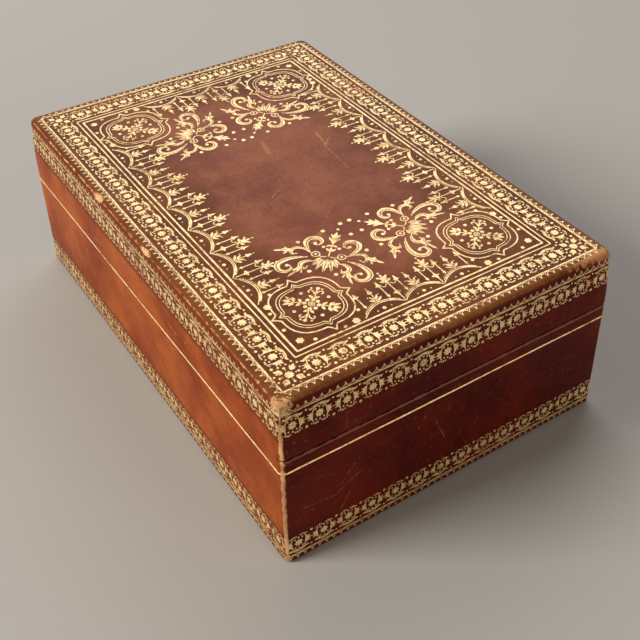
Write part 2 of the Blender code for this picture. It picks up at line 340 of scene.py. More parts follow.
def leather_material():
    """Waxed red-brown calf: mottled dye, fine grain, pale rubbed edges, scratches and rubbed spots, with painted
    shade on the ends, painted sheen on the top and a painted highlight along the base's rim.
    """
    graph = Graph("tooled_leather", Specular_IOR_Level=0.085)
    patch = graph.noise(85, 4, 0.6)
    streak = graph.noise(1.0, 4, 0.65, graph.stretch((60, 190, 60)))
    x, y, z = graph.split()
    upright, upper, lower, from_wall = edge_distance(graph, x, y, z)
    colour = dye_shade_and_sheen_colour(graph, x, y, z, upper, patch, streak)
    speckle = graph.between(graph.noise(620, 4, 0.7), 0.44, 0.66, 0, 0.42)
    colour = graph.mix(speckle, colour, graph.mix(1.0, colour, (0.55, 0.40, 0.35), "MULTIPLY"))
    pale = graph.between(graph.noise(410, 5, 0.75), 0.56, 0.74, 0, 0.30)
    colour = graph.mix(pale, colour, (0.46, 0.19, 0.10))
    rubbed = graph.between(upper, 6.0 * MM, 2.0 * MM, 0, 0.60) * graph.between(streak, 0.30, 0.62, 0.25, 1.0)
    rubbed = rubbed * graph.between(y, HALF_Y - 8 * MM, HALF_Y - 4 * MM, 1.0, 0.35)
    rubbed = rubbed * graph.between(z, TOP - 1.6 * MM, TOP - 0.4 * MM)
    colour = graph.mix(rubbed, colour, (0.255, 0.088, 0.022))
    colour = graph.mix(worn_mask(graph, upright, upper, lower, y), colour, worn_colour(graph, patch, y))
    # painted highlight: a pale mauve line along the base's rim
    colour = graph.mix(rim_highlight_mask(graph, from_wall, y, z), colour, (0.31, 0.155, 0.125))
    colour = graph.mix(scratch_mask(graph), colour, (0.50, 0.190, 0.070))
    grain = graph.cells(1350) * -0.6 + graph.noise(2600, 3, 0.6) * 0.5 + graph.noise(120, 4, 0.6) * 2.4
    return graph.done(colour, graph.noise(140, 5, 0.65) * 0.30 + 0.26, grain, 0.09 * MM, 0.8)


def worn_mask(graph, upright, upper, lower, y):
    """How far the dye is rubbed away: along the edges, less so at the hinge side, and in the worn spots."""
    ragged = graph.noise(330, 6, 0.75)
    reach = ragged * (3.0 * MM) - 1.4 * MM
    strong = graph.between(graph.noise(34, 3, 0.6), 0.40, 0.60, 0.45, 1.0)
    at_back = graph.between(y, HALF_Y - 7 * MM, HALF_Y - 3 * MM, 0.25, 1.0)
    mask = 0.0
    edges = ((upright, 1.3, 1.7, 1.0), (upper, 0.6, 1.05, at_back), (lower, 0.7, 1.2, 0.7))
    for distance, near, far, weight in edges:
        part = graph.between(distance + reach, far * MM, near * MM) * weight
        mask = graph.math("MAXIMUM", mask, part * strong)
    broken = graph.noise(900, 4, 0.8) * 0.5 + ragged * 0.5
    for point, stretch, radius in WORN_SPOTS:
        distance = graph.near(point, stretch) + broken * (4.0 * radius) - 2.0 * radius
        mask = graph.math("MAXIMUM", mask, graph.between(distance, radius, radius * 0.8, 0, 0.95))
    return mask


def rim_highlight_mask(graph, from_wall, y, z):
    """Where a pale line is painted along the base's rim as a painted highlight, everywhere but at the hinge."""
    distance = graph.math("ABSOLUTE", z - (RIM - 0.5 * MM)) + graph.noise(260, 5, 0.7) * (1.4 * MM) - 0.7 * MM
    outer = graph.between(from_wall, 1.0 * MM, 0.5 * MM)
    away = graph.between(y, HALF_Y - 1 * MM, HALF_Y - 3 * MM)
    return graph.between(distance, 0.55 * MM, 0.25 * MM, 0, 0.7) * outer * away


def scratch_mask(graph):
    """How deep the scratches and rubbed spots are."""
    mask = 0.0
    uneven = graph.noise(420, 5, 0.8) * (2.6 * MM) - 1.2 * MM
    for start, end, half_width, strength in SCRATCHES:
        distance = graph.along(Vector(start) * MM, Vector(end) * MM) + uneven
        part = graph.between(distance, half_width * MM, half_width * 0.2 * MM, 0, strength)
        mask = graph.math("MAXIMUM", mask, part)
    return mask


def worn_colour(graph, patch, y):
    """Tan of leather with its dye rubbed away, and cream where most is gone, towards the hinge side."""
    cream = graph.between(patch, 0.30, 0.54) * graph.between(y, -20 * MM, 60 * MM, 0.2, 1.0)
    return graph.mix(cream, (0.50, 0.195, 0.068), (0.80, 0.49, 0.23))


def gold_material():
    """Gold leaf pressed into the leather, rubbed brown in places."""
    graph = Graph("gold_tooling", Metallic=0.5)
    worn = graph.noise(1500, 3, 0.7) * 0.45 + graph.noise(330, 4, 0.7) * 0.55
    worn = worn + graph.noise(55, 4, 0.65) * 0.45
    bright = graph.between(graph.noise(520, 3, 0.6), 0.35, 0.62)
    colour = graph.mix(bright, (0.86, 0.58, 0.22), (1.0, 0.81, 0.44))
    colour = graph.mix(graph.between(worn, 0.72, 0.90, 0, 0.92), colour, (0.26, 0.085, 0.022))
    rough = graph.noise(700, 4, 0.7) * 0.35 + 0.22
    return graph.done(colour, rough, graph.noise(1700, 3, 0.6), 0.12 * MM, 0.8)


def silk_material():
    """Watered silk: fine ribs with wavy bright and dull figures."""
    graph = Graph("moire_silk", Sheen_Weight=0.25, Sheen_Roughness=0.4, Specular_IOR_Level=0.45)
    wave = {"Scale": 42, "Distortion": 11.0, "Detail": 3.0, "Detail Scale": 1.6}
    wave["Vector"] = graph.stretch((1.0, 0.28, 1.0))
    figure = graph.node("TexWave", wave, "Fac", bands_direction="X")
    figure = figure * graph.between(graph.noise(22, 3, 0.5), 0.3, 0.7, 0.35, 1.0)
    colour = graph.mix(figure, (0.50, 0.355, 0.175), (0.69, 0.53, 0.30))
    ribs = graph.noise(1.0, 2, 0.5, graph.stretch((2600, 240, 2600)))
    return graph.done(colour, figure * -0.22 + 0.52, ribs, 0.05 * MM, 0.7)


def velvet_material():
    """Short dark red pile, brushed a little each way."""
    graph = Graph("velvet", Specular_IOR_Level=0.15, Sheen_Weight=0.9, Sheen_Roughness=0.35)
    graph.set("Sheen Tint", (0.95, 0.45, 0.40))
    pile = graph.noise(3200, 2, 0.7)
    brushed = graph.between(graph.noise(60, 4, 0.6), 0.35, 0.7)
    colour = graph.mix(brushed, (0.115, 0.013, 0.015), (0.175, 0.023, 0.025))
    return graph.done(graph.mix(pile * 0.4, colour, (0.03, 0.004, 0.005)), 0.95, pile, 0.15 * MM, 0.9)


def ribbon_material():
    """Ribbed silk ribbon."""
    graph = Graph("ribbon", Sheen_Weight=0.3, Sheen_Roughness=0.35)
    ribs = graph.noise(1.0, 2, 0.5, graph.stretch((900, 900, 3000)))
    colour = graph.mix(graph.noise(150, 3, 0.6), (0.44, 0.29, 0.13), (0.62, 0.45, 0.23))
    return graph.done(colour, ribs * 0.2 + 0.38, ribs, 0.06 * MM, 0.8)


def cloth_material():
    """Close dark bookcloth."""
    graph = Graph("underside_cloth", Sheen_Weight=0.2, Specular_IOR_Level=0.3)
    threads = [graph.noise(1.0, 1, 0.5, graph.stretch(way)) for way in ((1900, 350, 900), (350, 1900, 900))]
    wear = graph.noise(45, 4, 0.6)
    colour = graph.mix(wear, (0.055, 0.022, 0.018), (0.13, 0.060, 0.045))
    return graph.done(colour, wear * 0.2 + 0.75, threads[0] + threads[1], 0.08 * MM, 0.9)


def wood_material():
    """Bare poplar, grain along X."""
    graph = Graph("carcass_wood")
    grain = graph.noise(1.0, 5, 0.65, graph.stretch((14, 260, 260)))
    colour = graph.mix(grain, (0.36, 0.22, 0.11), (0.62, 0.44, 0.26))
    return graph.done(colour, grain * 0.2 + 0.6, grain, 0.1 * MM, 0.5)


def floor_material():
    graph = Graph("floor", Roughness=0.8)
    graph.set("Base Color", graph.mix(graph.noise(3, 3, 0.5), (0.44, 0.427, 0.407), (0.475, 0.458, 0.437)))
    return graph.material


# ---------------------------------------------------------------- meshes


def make_piece(name, verts, faces, material, smooth_angle=40):
    mesh = bpy.data.meshes.new(name)
    mesh.from_pydata([tuple(v) for v in verts], [], faces)
    mesh.materials.append(material)
    mesh.shade_smooth()
    mesh.set_sharp_from_angle(angle=math.radians(smooth_angle))
    mesh.update()
    obj = bpy.data.objects.new(name, mesh)
    bpy.context.scene.collection.objects.link(obj)
    return obj


def put(piece, body, slot, *nodes):
    """The piece moves with a body and stands for nodes, which it hides; slot is not used."""
    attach(piece, body)
    if nodes:
        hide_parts(*nodes)
    return piece


def grid_faces(rows, columns, first=0, flip=False):
    """Faces of a grid of points that are kept row by row from the first one."""
    faces = []
    for row in range(rows - 1):
        for column in range(columns - 1):
            a = first + row * columns + column
            face = (a, a + 1, a + columns + 1, a + columns)
            faces.append((a, *face[:0:-1]) if flip else face)
    return faces


def grid_rim(rows, columns):
    """The points round the edge of a grid, in turn."""
    rim = list(range(columns)) + [row * columns + columns - 1 for row in range(1, rows)]
    rim += [(rows - 1) * columns + column for column in range(columns - 2, -1, -1)]
    return rim + [row * columns for row in range(rows - 2, 0, -1)]


def slab(name, front, back, material, smooth_angle):
    """A closed sheet between two grids, each a list of rows of points."""
    rows, columns = len(front), len(front[0])
    half = rows * columns
    faces = grid_faces(rows, columns, flip=True) + grid_faces(rows, columns, first=half)
    rim = grid_rim(rows, columns)
    faces += [(a, b, half + b, half + a) for a, b in zip(rim, rim[1:] + rim[:1])]
    piece = make_piece(name, [point for row in front + back for point in row], faces, material, smooth_angle)
    mesh = bmesh.new()
    mesh.from_mesh(piece.data)
    bmesh.ops.recalc_face_normals(mesh, faces=mesh.faces)
    mesh.to_mesh(piece.data)
    mesh.free()
    return piece


def narrowing(height):
    """How far up the lid's taper a height is, or each of an array: 0 at the hinge and 1 at the top."""
    share = np.clip((height - PARTING - HINGE_REACH) / (TOP - PARTING - HINGE_REACH), 0, 1)
    return share * share * (3 - 2 * share)


def ring(inset, height):
    """A rounded rectangle inside the case's outline, as the same number of points at any inset."""
    share = float(narrowing(height))
    radius = max(CORNER_RADIUS + (TOP_CORNER_RADIUS - CORNER_RADIUS) * share - inset, SMALLEST_RADIUS)
    inset = inset + TAPER * share
    straight = Vector((HALF_X - inset - radius, HALF_Y - inset - radius))
    points = []
    for turn, (sign_x, sign_y) in enumerate(((1, 1), (-1, 1), (-1, -1), (1, -1))):
        facing = turn * math.pi / 2
        for step in range(ARC_STEPS + 1):
            angle = facing + math.pi / 2 * step / ARC_STEPS
            x = straight.x * sign_x + radius * math.cos(angle)
            points.append(Vector((x, straight.y * sign_y + radius * math.sin(angle), height)))
        along_x = turn in (0, 2)
        pieces = round(2 * (HALF_X if along_x else HALF_Y) / RING_STEP)
        length = 2 * (straight.x if along_x else straight.y)
        corner = points[-1]
        onward = Vector((math.cos(facing + math.pi), math.sin(facing + math.pi), 0))
        points += [corner + onward * (length * step / pieces) for step in range(1, pieces)]
    return points


def arc_profile(centre, radius, start, end, steps):
    """Points of an arc in the (inset, height) plane, angles in degrees."""
    angles = [math.radians(start + (end - start) * i / steps) for i in range(steps + 1)]
    return [(centre[0] + radius * math.cos(a), centre[1] + radius * math.sin(a)) for a in angles]


def shell(name, profile, material, caps):
    """Rings one inside the other, joined in turn. caps closes the first and last ring with a face."""
    rings = [ring(inset, height) for inset, height in profile]
    count = len(rings[0])
    verts = [point for points in rings for point in points]
    faces = []
    for i in range(len(rings) - 1 if caps else len(rings)):
        a, b = i * count, ((i + 1) % len(rings)) * count
        for k in range(count):
            n = (k + 1) % count
            faces.append((a + k, a + n, b + n, b + k))
    if caps:
        faces.append(tuple(reversed(range(count))))
        faces.append(tuple(range((len(rings) - 1) * count, len(rings) * count)))
    return make_piece(name, verts, faces, material)


def carve(obj, low, high):
    """Takes a box out of a closed mesh."""
    low, high = Vector(low), Vector(high)
    block = bmesh.new()
    place_and_size = Matrix.Translation((low + high) / 2) @ Matrix.Diagonal((*(high - low), 1))
    bmesh.ops.create_cube(block, size=1.0, matrix=place_and_size)
    mesh = bpy.data.meshes.new("block")
    block.to_mesh(mesh)
    block.free()
    cutter = bpy.data.objects.new("block", mesh)
    bpy.context.scene.collection.objects.link(cutter)
    boolean = obj.modifiers.new("carve", "BOOLEAN")
    boolean.object = cutter
    boolean.solver = "EXACT"
    graph = bpy.context.evaluated_depsgraph_get()
    result = bpy.data.meshes.new_from_object(obj.evaluated_get(graph))
    obj.modifiers.clear()
    obj.data = result
    bpy.data.objects.remove(cutter)
    obj.data.shade_smooth()
    obj.data.set_sharp_from_angle(angle=math.radians(SMOOTH_ANGLE))


def hinge_recess(obj):
    """Takes the place of the bending strip out of a cover."""
    low = (-HINGE_END, HALF_Y - LEATHER - HINGE_MARGIN, PARTING - HINGE_REACH)
    carve(obj, low, (HINGE_END, HALF_Y + 2 * MM, PARTING + HINGE_REACH))


def add_lid_cover(material):
    mouth = HALF_Y - CARCASS_IN_Y - 0.3 * MM
    ledge = LID_RIM + LEATHER
    profile = [(LEATHER, TOP - LEATHER), (LEATHER, ledge), (mouth, ledge), (mouth, LID_RIM)]
    profile += arc_profile((RIM_RADIUS, LID_RIM + RIM_RADIUS), RIM_RADIUS, 270, 180, 4)
    profile += [(0, LID_RIM + (TOP - LID_RIM) * k / 6) for k in range(1, 6)]
    profile += arc_profile((EDGE_RADIUS, TOP - EDGE_RADIUS), EDGE_RADIUS, 180, 90, ARC_STEPS)
    cover = shell("lid_leather", profile, material, caps=True)
    hinge_recess(cover)
    put(cover, "lid", "tooled_leather", "lid_leather_cover")


def add_base_cover(material):
    mouth = HALF_Y - CARCASS_IN_Y
    profile = [(UNDER_TURN_IN, FOOT + LEATHER), (UNDER_TURN_IN, FOOT)]
    profile += arc_profile((FOOT_RADIUS, FOOT + FOOT_RADIUS), FOOT_RADIUS, 270, 180, 4)
    profile += [(0, FOOT + (RIM - FOOT) * k / 8) for k in range(1, 8)]
    profile += arc_profile((RIM_RADIUS, RIM - RIM_RADIUS), RIM_RADIUS, 180, 90, 4)
    profile += [(mouth, RIM), (mouth, RIM - LEATHER), (LEATHER, RIM - LEATHER), (LEATHER, FOOT + LEATHER)]
    cover = shell("base_leather", profile, material, caps=False)
    hinge_recess(cover)
    put(cover, "base", "tooled_leather", "base_leather_cover")


def add_hinge(material):
    """The leather that bends, flush with the covers, with a faint ridge and crease where it folds."""
    end = HINGE_END - HINGE_CLEARANCE
    reach = HINGE_REACH - HINGE_CLEARANCE
    outer, inner = [], []
    for t in np.linspace(-1, 1, 25):
        z = PARTING + t * reach
        swell = (1 - t * t) ** 2 * 0.16 * MM - 0.14 * MM * math.exp(-((t / 0.09) ** 2))
        across = np.linspace(-end, end, 61)
        uneven = [1 + 0.5 * noise.noise(Vector((x * 60, 0, 3))) for x in across]
        outer.append([(x, HALF_Y + swell * share, z) for x, share in zip(across, uneven)])
        inner.append([(x, HALF_Y - LEATHER, z) for x in across])
    hinge = slab("bending_leather", outer, inner, material, SMOOTH_ANGLE)
    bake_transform(hinge)
    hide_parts("leather_hinge")


# ---------------------------------------------------------------- gold tooling, drawn in millimetres


class Stamp:
    """A thin piece of gold: an outline round a centre, or a line with a width at each point."""

    def __init__(self, points, centre=None, widths=None, closed=False):
        self.points = np.asarray(points, float)
        self.centre = None if centre is None else np.asarray(centre, float)
        self.widths = None if widths is None else np.asarray(widths, float)
        self.closed = closed

    def moved(self, matrix, offset, size):
        points = self.points @ matrix.T * size + offset
        centre = None if self.centre is None else self.centre @ matrix.T * size + offset
        widths = None if self.widths is None else self.widths * size
        return Stamp(points, centre, widths, self.closed)


def place(stamps, x=0.0, y=0.0, turn=0.0, size=1.0, flip=False):
    """Copies of stamps, flipped across their own X axis, turned by degrees, and moved."""
    a = math.radians(turn)
    matrix = np.array([[math.cos(a), -math.sin(a)], [math.sin(a), math.cos(a)]])
    if flip:
        matrix = matrix @ np.diag([1.0, -1.0])
    return [stamp.moved(matrix, np.array([x, y]), size) for stamp in stamps]


def both(stamps):
    """The stamps and their mirror image across the X axis."""
    return stamps + place(stamps, flip=True)


def left_and_right(stamps):
    """The stamps and their mirror image across the Y axis."""
    return stamps + [stamp.moved(np.diag([-1.0, 1.0]), 0.0, 1.0) for stamp in stamps]


def spun(stamps, turns):
    """Copies of stamps turned about the origin."""
    return [copy for turn in turns for copy in place(stamps, turn=turn)]


def polar(reach, degrees, x=0.0):
    """A point at a distance from (x, 0)."""
    a = math.radians(degrees)
    return x + reach * math.cos(a), reach * math.sin(a)


def round_points(x, y, radii):
    """Points round a centre, one for each radius."""
    angles = np.arange(len(radii)) * 2 * math.pi / len(radii)
    return np.stack([x + radii * np.cos(angles), y + radii * np.sin(angles)], 1)


def dot(x, y, radius, sides=10):
    return Stamp(round_points(x, y, np.full(sides, radius)), (x, y))


def rosette(x, y, radius, lobes=8, depth=0.16):
    """A round flower with a lobed outline."""
    angles = np.arange(lobes * 4) * 2 * math.pi / (lobes * 4)
    return Stamp(round_points(x, y, radius * (1 - depth + depth * np.cos(lobes * angles))), (x, y))


def circle_line(x, y, radius, width, sides=18):
    return Stamp(round_points(x, y, np.full(sides, radius)), widths=np.full(sides, width), closed=True)


def leaf(start, end, width, steps=5):
    """A pointed leaf, widest just short of its middle."""
    start, end = np.asarray(start, float), np.asarray(end, float)
    span = end - start
    normal = np.array([-span[1], span[0]]) / np.hypot(*span)
    shares = np.arange(1, steps) / steps
    halves = width / 2 * np.sin(math.pi * shares ** 0.85)
    upper = start + np.outer(shares, span) + np.outer(halves, normal)
    lower = start + np.outer(shares, span) - np.outer(halves, normal)
    return Stamp(np.concatenate([[start], lower, [end], upper[::-1]]), start + span * 0.46)


def veined(start, end, width, steps=6):
    """A broad leaf as two halves beside a bare vein."""
    start, end = np.asarray(start, float), np.asarray(end, float)
    span = end - start
    normal = np.array([-span[1], span[0]]) / np.hypot(*span)
    shares = np.linspace(0.04, 1, steps)
    halves = width / 2 * np.sin(math.pi * np.clip(shares, 0, 1) ** 0.85) * (1 + 0.22 * np.cos(shares * 22))
    stamps = []
    for side in (-1, 1):
        vein = normal * side * 0.17
        outer = start + np.outer(shares, span) + np.outer(np.maximum(halves, 0.2), normal * side)
        points = np.concatenate([[start + span * 0.04 + vein], outer, [end - span * 0.04 + vein]])
        middle = start + span * 0.45 + normal * side * width * 0.2
        stamps.append(Stamp(points, middle))
    return stamps


def smooth_line(points, steps=4):
    """A Catmull-Rom curve through the points."""
    p = np.asarray(points, float)
    p = np.concatenate([[2 * p[0] - p[1]], p, [2 * p[-1] - p[-2]]])
    found = []
    for i in range(1, len(p) - 2):
        for t in np.arange(steps) / steps:
            a = 2 * p[i] + (p[i + 1] - p[i - 1]) * t
            b = (2 * p[i - 1] - 5 * p[i] + 4 * p[i + 1] - p[i + 2]) * t * t
            c = (3 * p[i] - p[i - 1] - 3 * p[i + 1] + p[i + 2]) * t ** 3
            found.append((a + b + c) / 2)
    return np.array(found + [p[-2]])


def stroke(points, width, steps=4, closed=False):
    """A curved line of one width."""
    line = np.asarray(points, float) if closed else smooth_line(points, steps)
    return Stamp(line, widths=np.full(len(line), width), closed=closed)


def scroll(points, thin, thick, middle=0.45, steps=4):
    """A curved line that swells towards its middle, where a bare line shades it."""
    line = smooth_line(points, steps)
    shares = np.linspace(0, 1, len(line))
    swell = np.where(shares < middle, shares / middle, (1 - shares) / (1 - middle))
    widths = thin + (thick - thin) * np.sin(swell * math.pi / 2) ** 1.3
    tangent = np.gradient(line, axis=0)
    normal = np.stack([-tangent[:, 1], tangent[:, 0]], 1) / np.hypot(tangent[:, 0], tangent[:, 1])[:, None]
    body = Stamp(line + normal * (widths * 0.20)[:, None], widths=np.maximum(widths * 0.52, thin * 0.8))
    split = widths > thin + 0.35
    shade = line - normal * (widths * 0.36)[:, None]
    return [body, Stamp(shade[split], widths=(widths * 0.24)[split])]


class Foil:
    """Collects stamps as thin closed solids laid on a surface."""

    def __init__(self):
        self.verts = []
        self.faces = []
        self.count = 0

    def add(self, stamps, wrap, dome=FOIL_DOME * 0.6):
        for stamp in stamps:
            if stamp.widths is None:
                self.add_outline(stamp, wrap)
            else:
                self.add_line(stamp, wrap, dome)

    def keep(self, flat, heights, faces, wrap):
        self.verts.append(wrap(np.asarray(flat), np.asarray(heights)))
        self.faces += [tuple(self.count + i for i in face) for face in faces]
        self.count += len(heights)

    def add_outline(self, stamp, wrap):
        points = stamp.points
        following = np.roll(points, -1, axis=0)
        if np.sum(points[:, 0] * following[:, 1] - points[:, 1] * following[:, 0]) < 0:
            points = points[::-1]
        n = len(points)
        flat = np.concatenate([[stamp.centre], points, points, [stamp.centre]])
        heights = [FOIL_HEIGHT + FOIL_DOME] + [FOIL_HEIGHT] * n + [-FOIL_SINK] * (n + 1)
        faces = []
        for i in range(n):
            j = (i + 1) % n
            faces.append((0, 1 + i, 1 + j))
            faces.append((1 + i, 1 + n + i, 1 + n + j, 1 + j))
            faces.append((2 * n + 1, 1 + n + j, 1 + n + i))
        self.keep(flat, heights, faces, wrap)

    def add_line(self, stamp, wrap, dome):
        line, widths = stamp.points, stamp.widths
        n = len(line)
        if stamp.closed:
            before, after = line - np.roll(line, 1, axis=0), np.roll(line, -1, axis=0) - line
        else:
            steps = np.diff(line, axis=0)
            before, after = np.concatenate([steps[:1], steps]), np.concatenate([steps, steps[-1:]])
        before = before / np.linalg.norm(before, axis=1)[:, None]
        after = after / np.linalg.norm(after, axis=1)[:, None]
        tangent = before + after
        tangent = tangent / np.maximum(np.linalg.norm(tangent, axis=1), 1e-6)[:, None]
        mitre = 1 / np.maximum(np.sum(tangent * after, axis=1), 0.5)
        left = np.stack([-tangent[:, 1], tangent[:, 0]], 1) * (widths * mitre / 2)[:, None]
        flat = np.stack([line + left, line, line - left, line - left, line + left], 1).reshape(-1, 2)
        level = [FOIL_HEIGHT, FOIL_HEIGHT + dome, FOIL_HEIGHT, -FOIL_SINK, -FOIL_SINK]
        faces = []
        for i in range(n if stamp.closed else n - 1):
            a, b = 5 * i, 5 * ((i + 1) % n)
            for k in range(5):
                m = (k + 1) % 5
                faces.append((a + k, a + m, b + m, b + k))
        if not stamp.closed:
            last = 5 * (n - 1)
            faces.append((0, 4, 3, 2, 1))
            faces.append((last, last + 1, last + 2, last + 3, last + 4))
        self.keep(flat, level * n, faces, wrap)

    def piece(self, name, material):
        return make_piece(name, np.concatenate(self.verts), self.faces, material, 30)


def on_top(flat, heights):
    """Lays flat points on the lid's top."""
    return np.stack([flat[:, 0] * MM, flat[:, 1] * MM, TOP + heights * MM], 1)


def on_wall(facing, half, distance):
    """Lays (along, height above the floor) on a side of the case, and round its rounded corners."""
    out = np.array([math.cos(facing), math.sin(facing)])
    side = np.array([-out[1], out[0]])

    def wrap(flat, heights):
        u, z, h = flat[:, 0] * MM, flat[:, 1] * MM, heights * MM
        share = narrowing(z)
        radius = CORNER_RADIUS + (TOP_CORNER_RADIUS - CORNER_RADIUS) * share
        straight = half * MM - TAPER * share - radius
        angle = np.clip(np.abs(u) - straight, 0, None) * np.sign(u) / (half * MM - straight) * math.pi / 4
        base = np.outer(np.clip(u, -straight, straight), side)
        base = base + np.outer(distance * MM - TAPER * share - radius, out)
        direction = np.outer(np.sin(angle), side) + np.outer(np.cos(angle), out)
        return np.concatenate([base + direction * (radius + h)[:, None], z[:, None]], 1)

    return wrap


def hand_placed(stamps, x, y, turn=0.0, flip=False):
    """Places stamps as a hand does: a little off, a little turned, and pressed harder or lighter."""
    dx, dy = random.normal(0, 0.07, 2)
    size = 1 + random.normal(0, 0.012)
    return place(stamps, x + dx, y + dy, turn + random.normal(0, 0.7), size, flip)


def fillet(half, v, width):
    """A straight tooled line from -half to half, with slightly uneven width and course."""
    ends = np.linspace(0, 2.8, 6)
    stations = np.concatenate([ends - half, np.arange(5 - half, half - 4.5, 2.5), ends + half - 2.8])
    phase = random.uniform(0, 6, 2)
    course = v + 0.07 * np.sin(stations * 0.045 + phase[0]) + 0.03 * np.sin(stations * 0.21 + phase[1])
    widths = width * (1 + random.normal(0, 0.10, len(stations)))
    return Stamp(np.stack([stations, course], 1), widths=np.clip(widths, 0.6 * width, 1.3 * width))


def tooth():
    """One point of the toothed line: an ogee arch with a bead on it. It stands on v = 0."""
    half = TOOTH_PITCH / 2
    arch = [(-half, 0.45), (-half * 0.62, 0.62), (-half * 0.30, 1.15), (0, 2.05)]
    arch += [(-x, y) for x, y in arch[-2::-1]]
    widths = [0.30, 0.32, 0.34, 0.30, 0.34, 0.32, 0.30]
    return [Stamp(np.array(arch), widths=widths), dot(0, 2.15, 0.40, 8), dot(0, 0.72, 0.22, 6)]


def middles(half, count):
    """The middles of count equal stretches of a line from -half to half."""
    return [(index + 0.5 - count / 2) * 2 * half / count for index in range(count)]


def joins(half, count):
    """The points where count equal stretches of a line from -half to half meet."""
    return [(index - count / 2) * 2 * half / count for index in range(1, count)]


def toothed_fillet(half, v, width, upright):
    """A fillet with teeth along it, which point up where upright is True."""
    stamps = [fillet(half, v, width)]
    for u in middles(half, round(2 * half / TOOTH_PITCH)):
        stamps += place(tooth(), u, v + (0.1 if upright else -0.1), flip=not upright)
    return stamps


def roll_unit():
    """One repeat of the roll: a rosette between leafy stems, a scalloped arch above and berries below."""
    half = [stroke([(2.1, 3.1), (2.7, 1.5), (2.85, 0), (3.05, -1.5), (2.6, -3.0)], 0.40)]
    half += [stroke([(0.3, 3.5), (1.4, 3.35), (2.4, 2.9)], 0.34, 2), leaf((2.6, 2.9), (4.3, 3.7), 0.8, 4)]
    for angle, reach in ((0, 2.35), (36, 2.45), (-36, 2.45), (70, 1.9), (-70, 1.9)):
        half.append(leaf((2.9, 0.35 * math.sin(math.radians(angle))), polar(reach, angle, 2.9), 0.85, 4))
    half += [dot(1.55, 2.25, 0.40, 6), dot(1.55, -2.25, 0.40, 6), dot(3.5, -3.2, 0.28, 6)]
    beads = [(x, 4.15 - 0.09 * x ** 2, 0.46) for x in (0.45, 1.3, 2.15, 3.0)]
    beads += [(0.95, -3.65, 0.36), (1.8, -3.75, 0.42), (2.7, -3.5, 0.36)]
    unit = [dot(x * side, y, radius, 7) for x, y, radius in beads for side in (-1, 1)]
    unit += [rosette(0, 0, 1.80, 8, 0.17), dot(0, 2.75, 0.40, 7), dot(0, -2.75, 0.40, 7)]
    return place(unit + left_and_right(half), size=ROLL_SCALE)


def roll_gap():
    """What stands between two repeats."""
    return [dot(0, -4.1, 0.66, 9), dot(0, 4.3, 0.50, 8), dot(0, 0, 0.26, 6)]


def corner_unit():
    """The square flower where two stretches of roll meet."""
    arm = [leaf((2.5, 0), (6.4, 0), 1.8, 5)]
    arm += both([leaf((2.5, 0), polar(3.0, 28, 2.5), 1.0, 4), dot(*polar(5.7, 28), 0.48, 8)])
    unit = [rosette(0, 0, 2.0, 9, 0.15)] + spun(arm, (45, 135, 225, 315))
    for turn in (0, 90, 180, 270):
        unit += [dot(*polar(4.0, turn), 0.62, 8), dot(*polar(2.9, turn), 0.35, 6)]
    return unit


def cartouche(side, diagonal, cusp, cusp_half, width):
    """A rounded square line with a pointed cusp in the middle of each side."""
    flank = (13, 19, 27, 36)
    offsets = (-45, *(-offset for offset in flank[::-1]), -cusp_half, -cusp_half * 0.45, 0)
    offsets += (cusp_half * 0.45, cusp_half, *flank)
    points = []
    for quarter in (0, 90, 180, 270):
        for offset in offsets:
            bulge = math.cos(4 * math.radians(quarter + offset))
            reach = (side + diagonal) / 2 - (diagonal - side) / 2 * bulge
            if abs(offset) < cusp_half:
                reach += (cusp - side) * (1 - abs(offset) / cusp_half) ** 1.4
            points.append(polar(reach, quarter + offset))
    return stroke(points, width, closed=True)


def tulip():
    """A flower on a stem, along +X."""
    stamps = [stroke([(3.2, 0), (5.4, 0.25), (8.0, 0)], 0.55, 3), leaf((8.6, 0), (12.2, 0), 1.9, 5)]
    half = [leaf((4.2, 0.2), (6.2, 2.5), 1.4, 4), leaf((7.2, 0.3), (9.0, 3.0), 1.7, 5)]
    return stamps + both(half + [leaf((8.6, 1.0), (11.6, 2.6), 1.3, 4)])


def curls():
    """A stem that ends in curls and berries, along +X."""
    stamps = [stroke([(3.2, 0), (5.0, -0.3), (7.2, 0), (9.4, -0.4)], 0.52, 3)]
    stamps += [rosette(10.3, -0.4, 1.15, 5, 0.25)]
    half = [stroke([(6.2, 0.2), (8.0, 1.0), (8.8, 2.4), (7.8, 3.2), (7.0, 2.5)], 0.60, 3)]
    return stamps + both(half + [dot(10.0, 2.3, 0.55, 7), leaf((3.8, 0.2), (5.4, 2.4), 1.3, 4)])


def medallion():
    """Cartouche with a double inner frame and a bouquet."""
    stamps = [cartouche(15.4, 17.7, 18.5, 8.5, 0.66)]
    stamps += [cartouche(12.9, 14.6, 15.0, 8, 0.42), cartouche(11.7, 13.2, 13.4, 8, 0.42)]
    stamps += [dot(*polar(3.0, turn), 0.95, 9) for turn in range(0, 360, 45)]
    stamps += [circle_line(0, 0, 1.25, 0.45, 14), dot(0, 0, 0.6, 8)]
    stamps += spun(tulip(), (45, 225)) + spun(curls(), (135, 315))
    return stamps + spun([dot(8.2, 0, 0.85)], (0, 90, 180, 270))


def medallion_balls():
    """Balls round a medallion. +X and +Y point to the panel's corner."""
    large = ((18.3, -9.0), (-8.0, 15.6), (15.9, 15.2))
    small = ((18.8, -3.6), (18.5, 9.9), (-3.9, 16.8), (7.4, 17.2), (-14.2, 11.0), (13.3, -13.2))
    return [rosette(x, y, 1.75, 6, 0.12) for x, y in large] + [dot(x, y, 0.85) for x, y in small]


